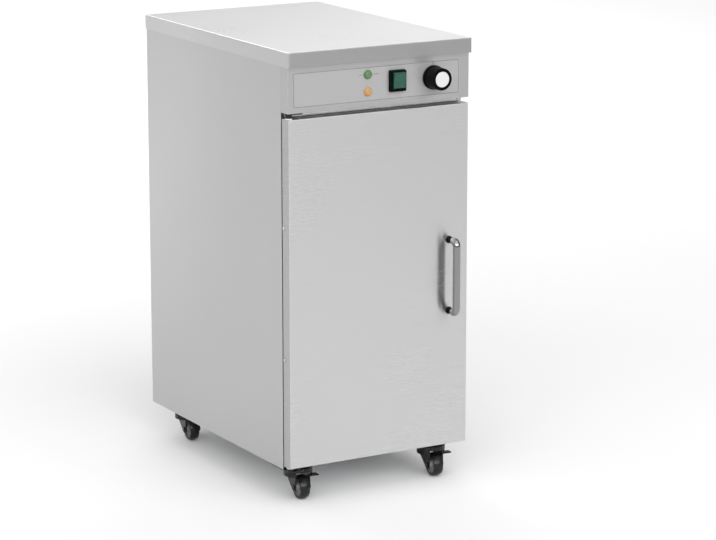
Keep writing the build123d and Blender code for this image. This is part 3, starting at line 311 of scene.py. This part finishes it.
def caster_wheel(name, centre, turn):
    """Black tyre round a grey web and hub: partly the wheel's own grey centre, partly a painted highlight for the
    light strip on the wheel's side.
    """
    m, g, b = principled(name)
    n = g.noise(g.coords((500, 500, 500)), 1.0, 2.0, 0.6)
    c = g.noise(g.coords((40, 40, 40)), 1.0, 3.0, 0.6)
    tc = g.new("ShaderNodeTexCoord")
    d = vmath(g, "SUBTRACT", tc.outputs["Object"], tuple(centre))
    run = vmath(g, "DOT_PRODUCT", d, (math.cos(turn), math.sin(turn), 0.0), out=1)
    square = g.math("SUBTRACT", vmath(g, "DOT_PRODUCT", d, d, out=1), g.math("MULTIPLY", run, run))
    web = g.math("LESS_THAN", square, (17.2 * MM) ** 2)
    tyre = g.mix(c, (0.005, 0.005, 0.0054), (0.008, 0.008, 0.0085))
    # Painted highlight: the grey of the web and hub is partly the wheel's own grey centre and partly stands in for
    # the light strip on the wheel's side.
    grey_hub_and_painted_highlight = g.mix(c, (0.17, 0.17, 0.172), (0.21, 0.21, 0.212))
    g.put(b.inputs["Base Color"], g.mix(web, tyre, grey_hub_and_painted_highlight))
    g.put(b.inputs["Roughness"], g.ranged(c, 0.3, 0.7, 0.26, 0.34))
    b.inputs["Specular IOR Level"].default_value = 0.3
    b.inputs["Coat Weight"].default_value = 0.1
    b.inputs["Coat Roughness"].default_value = 0.12
    g.put(b.inputs["Normal"], g.bump(n, 0.2, 0.00004))
    return m


def coated(name, colour, rough):
    """Powder or e-coated steel with a faint orange peel and rubbed high spots."""
    m, g, b = principled(name)
    peel = g.noise(g.coords((620, 620, 620)), 1.0, 2.0, 0.5)
    c = g.noise(g.coords((45, 45, 45)), 1.0, 4.0, 0.6)
    g.put(b.inputs["Base Color"], g.mix(c, shade(colour, 0.8), shade(colour, 1.5)))
    g.put(b.inputs["Roughness"], g.ranged(c, 0.25, 0.75, rough - 0.06, rough + 0.08))
    b.inputs["Specular IOR Level"].default_value = 0.3
    g.put(b.inputs["Normal"], g.bump(peel, 0.25, 0.00008))
    return m


def plated(name, colour, rough, cloud=0.04):
    """Bright or zinc plated steel."""
    m, g, b = principled(name)
    c = g.noise(g.coords((60, 60, 60)), 1.0, 4.0, 0.6)
    s = g.noise(g.coords((700, 700, 700)), 1.0, 2.0, 0.5)
    g.put(b.inputs["Base Color"], g.mix(c, shade(colour, 1 - cloud), shade(colour, 1 + cloud)))
    b.inputs["Metallic"].default_value = 1.0
    g.put(b.inputs["Roughness"], g.ranged(c, 0.25, 0.75, rough - 0.04, rough + 0.05))
    g.put(b.inputs["Normal"], g.bump(s, 0.12, 0.00003))
    return m


def spangle(name, colour, rough):
    """Zinc-coated sheet with its flower pattern."""
    m, g, b = principled(name)
    v = g.new("ShaderNodeTexVoronoi")
    g.put(v.inputs["Vector"], g.coords((110, 110, 110)))
    v.inputs["Scale"].default_value = 1.0
    d = g.new("ShaderNodeSeparateColor")
    g.put(d.inputs[0], v.outputs["Color"])
    g.put(b.inputs["Base Color"], g.mix(d.outputs[0], shade(colour, 0.9), shade(colour, 1.12)))
    b.inputs["Metallic"].default_value = 0.9
    g.put(b.inputs["Roughness"], g.ranged(d.outputs[1], 0.0, 1.0, rough - 0.08, rough + 0.1))
    g.put(b.inputs["Normal"], g.bump(g.noise(g.coords((400, 400, 400)), 1.0, 3.0), 0.2, 0.00004))
    return m


mats = {
    # Painted light and shade: door, side, top and panel are one brushed steel in lit and shaded copies. Their base
    # colours are set apart by how light falls on each part, and the face factors paint the door's side returns and
    # the worktop's front apron and side bands darker.
    "stainless_door": brushed("stainless_door", (0.645, 0.645, 0.645), 0.27, "yxx", tone=0.005, deep=0.04, painted_face_shade=(0.72, 1.0, 0.9)),
    "stainless_side": brushed("stainless_side", (0.545, 0.545, 0.545), 0.29, "yxx"),
    "stainless_top": brushed("stainless_top", (0.76, 0.76, 0.76), 0.28, "yxy", painted_face_shade=(0.785, 0.56, 1.0)),
    "stainless_panel": brushed("stainless_panel", (0.52, 0.52, 0.52), 0.28, "yxx"),
    "stainless_inner": brushed("stainless_inner", (0.64, 0.64, 0.635), 0.24, "zzy", aniso=0.8),
    "stainless_dull": brushed("stainless_dull", (0.56, 0.56, 0.555), 0.38, "yxx", aniso=0.8),
    "grip_steel": brushed("grip_steel", (0.30, 0.30, 0.305), 0.22, "zzz", tone=0.03, deep=0.4, aniso=0.6),
    "overlay": brushed("overlay", (0.41, 0.41, 0.41), 0.42, "yxx", deep=0.1, aniso=0.6, metal=0.5, printed=overlay_print),
    "cap_silver": brushed("cap_silver", (0.72, 0.72, 0.72), 0.25, "yxx", deep=0.2, aniso=0.0, metal=0.4),
    "galvanised": spangle("galvanised", (0.60, 0.61, 0.62), 0.42),
    "chromed_wire": plated("chromed_wire", (0.80, 0.80, 0.81), 0.10),
    "bright_steel": plated("bright_steel", (0.66, 0.66, 0.67), 0.28),
    "screw_steel": plated("screw_steel", (0.68, 0.68, 0.69), 0.18),
    "element_sheath": plated("element_sheath", (0.30, 0.27, 0.25), 0.42, cloud=0.15),
    "copper": plated("copper", (0.80, 0.48, 0.33), 0.28, cloud=0.12),
    "control_body": plastic("control_body", (0.70, 0.67, 0.60), 0.5),
    "black_plastic": plastic("black_plastic", (0.002, 0.002, 0.0022), 0.42, spec=0.05),
    "green_rocker": plastic("green_rocker", (0.003, 0.062, 0.036), 0.16, coat=0.2, deep=0.05),
    "green_lens": plastic("green_lens", (0.085, 0.165, 0.07), 0.14, coat=0.4, deep=0.05),
    "amber_lens": plastic("amber_lens", (0.44, 0.235, 0.09), 0.2, coat=0.5, deep=0.05),
    "steatite": plastic("steatite", (0.80, 0.78, 0.72), 0.45),
    "black_nylon": plastic("black_nylon", (0.02, 0.02, 0.02), 0.42),
    "magnet": coated("magnet", (0.06, 0.055, 0.055), 0.55),
    "caster_black": coated("caster_black", (0.006, 0.006, 0.0065), 0.24),
    # black_coated: the hinge brackets are near black, partly their own black coat and partly painted shade for the
    # dark hinge gaps they sit in.
    "black_coated": coated("black_coated", (0.012, 0.012, 0.0125), 0.32),
    "wheel_black": plastic("wheel_black", (0.006, 0.006, 0.0065), 0.30, coat=0.1, grit=500, spec=0.3),
    "silicone": plastic("silicone", (0.05, 0.05, 0.05), 0.55),
    "white_nylon": plastic("white_nylon", (0.78, 0.78, 0.76), 0.4),
    "wool": plastic("wool", (0.66, 0.60, 0.40), 0.9, deep=0.8, grit=300, size=0.002),
}

slot_of = {s["node"]: s["material_slot"] for s in frame["record"]["subparts"]}
special = {
    "door_skin": "stainless_door",
    "side_panel_left": "stainless_side",
    "side_panel_right": "stainless_side",
    "back_panel": "stainless_side",
    "worktop": "stainless_top",
    "control_fascia": "stainless_panel",
    "door_inner_panel": "stainless_inner",
    "front_frame": "stainless_inner",
    "liner_left": "stainless_inner",
    "liner_right": "stainless_inner",
    "liner_back": "stainless_inner",
    "liner_top": "stainless_inner",
    "liner_floor": "stainless_inner",
    "heater_guard": "stainless_inner",
    "shelf_rack_left": "stainless_inner",
    "shelf_rack_right": "stainless_inner",
}
for name, ob in nodes.items():
    key = special.get(name, slot_of[name])
    if key not in mats:
        key = "stainless_inner"
    ob.data.materials.clear()
    ob.data.materials.append(mats[key])

CASTER_TURN = math.radians(-6.0)
TRAIL = 16.0
for key, (cx, cv) in {"fl": (-152.0, 27.5), "fr": (152.0, 27.5), "rl": (-152.0, 500.0), "rr": (152.0, 500.0)}.items():
    middle = P(cx + math.sin(CASTER_TURN) * TRAIL, cv - math.cos(CASTER_TURN) * TRAIL, 24.0)
    wheel = nodes["caster_wheel_" + key]
    wheel.data.materials.clear()
    wheel.data.materials.append(caster_wheel("wheel_" + key, middle, CASTER_TURN))
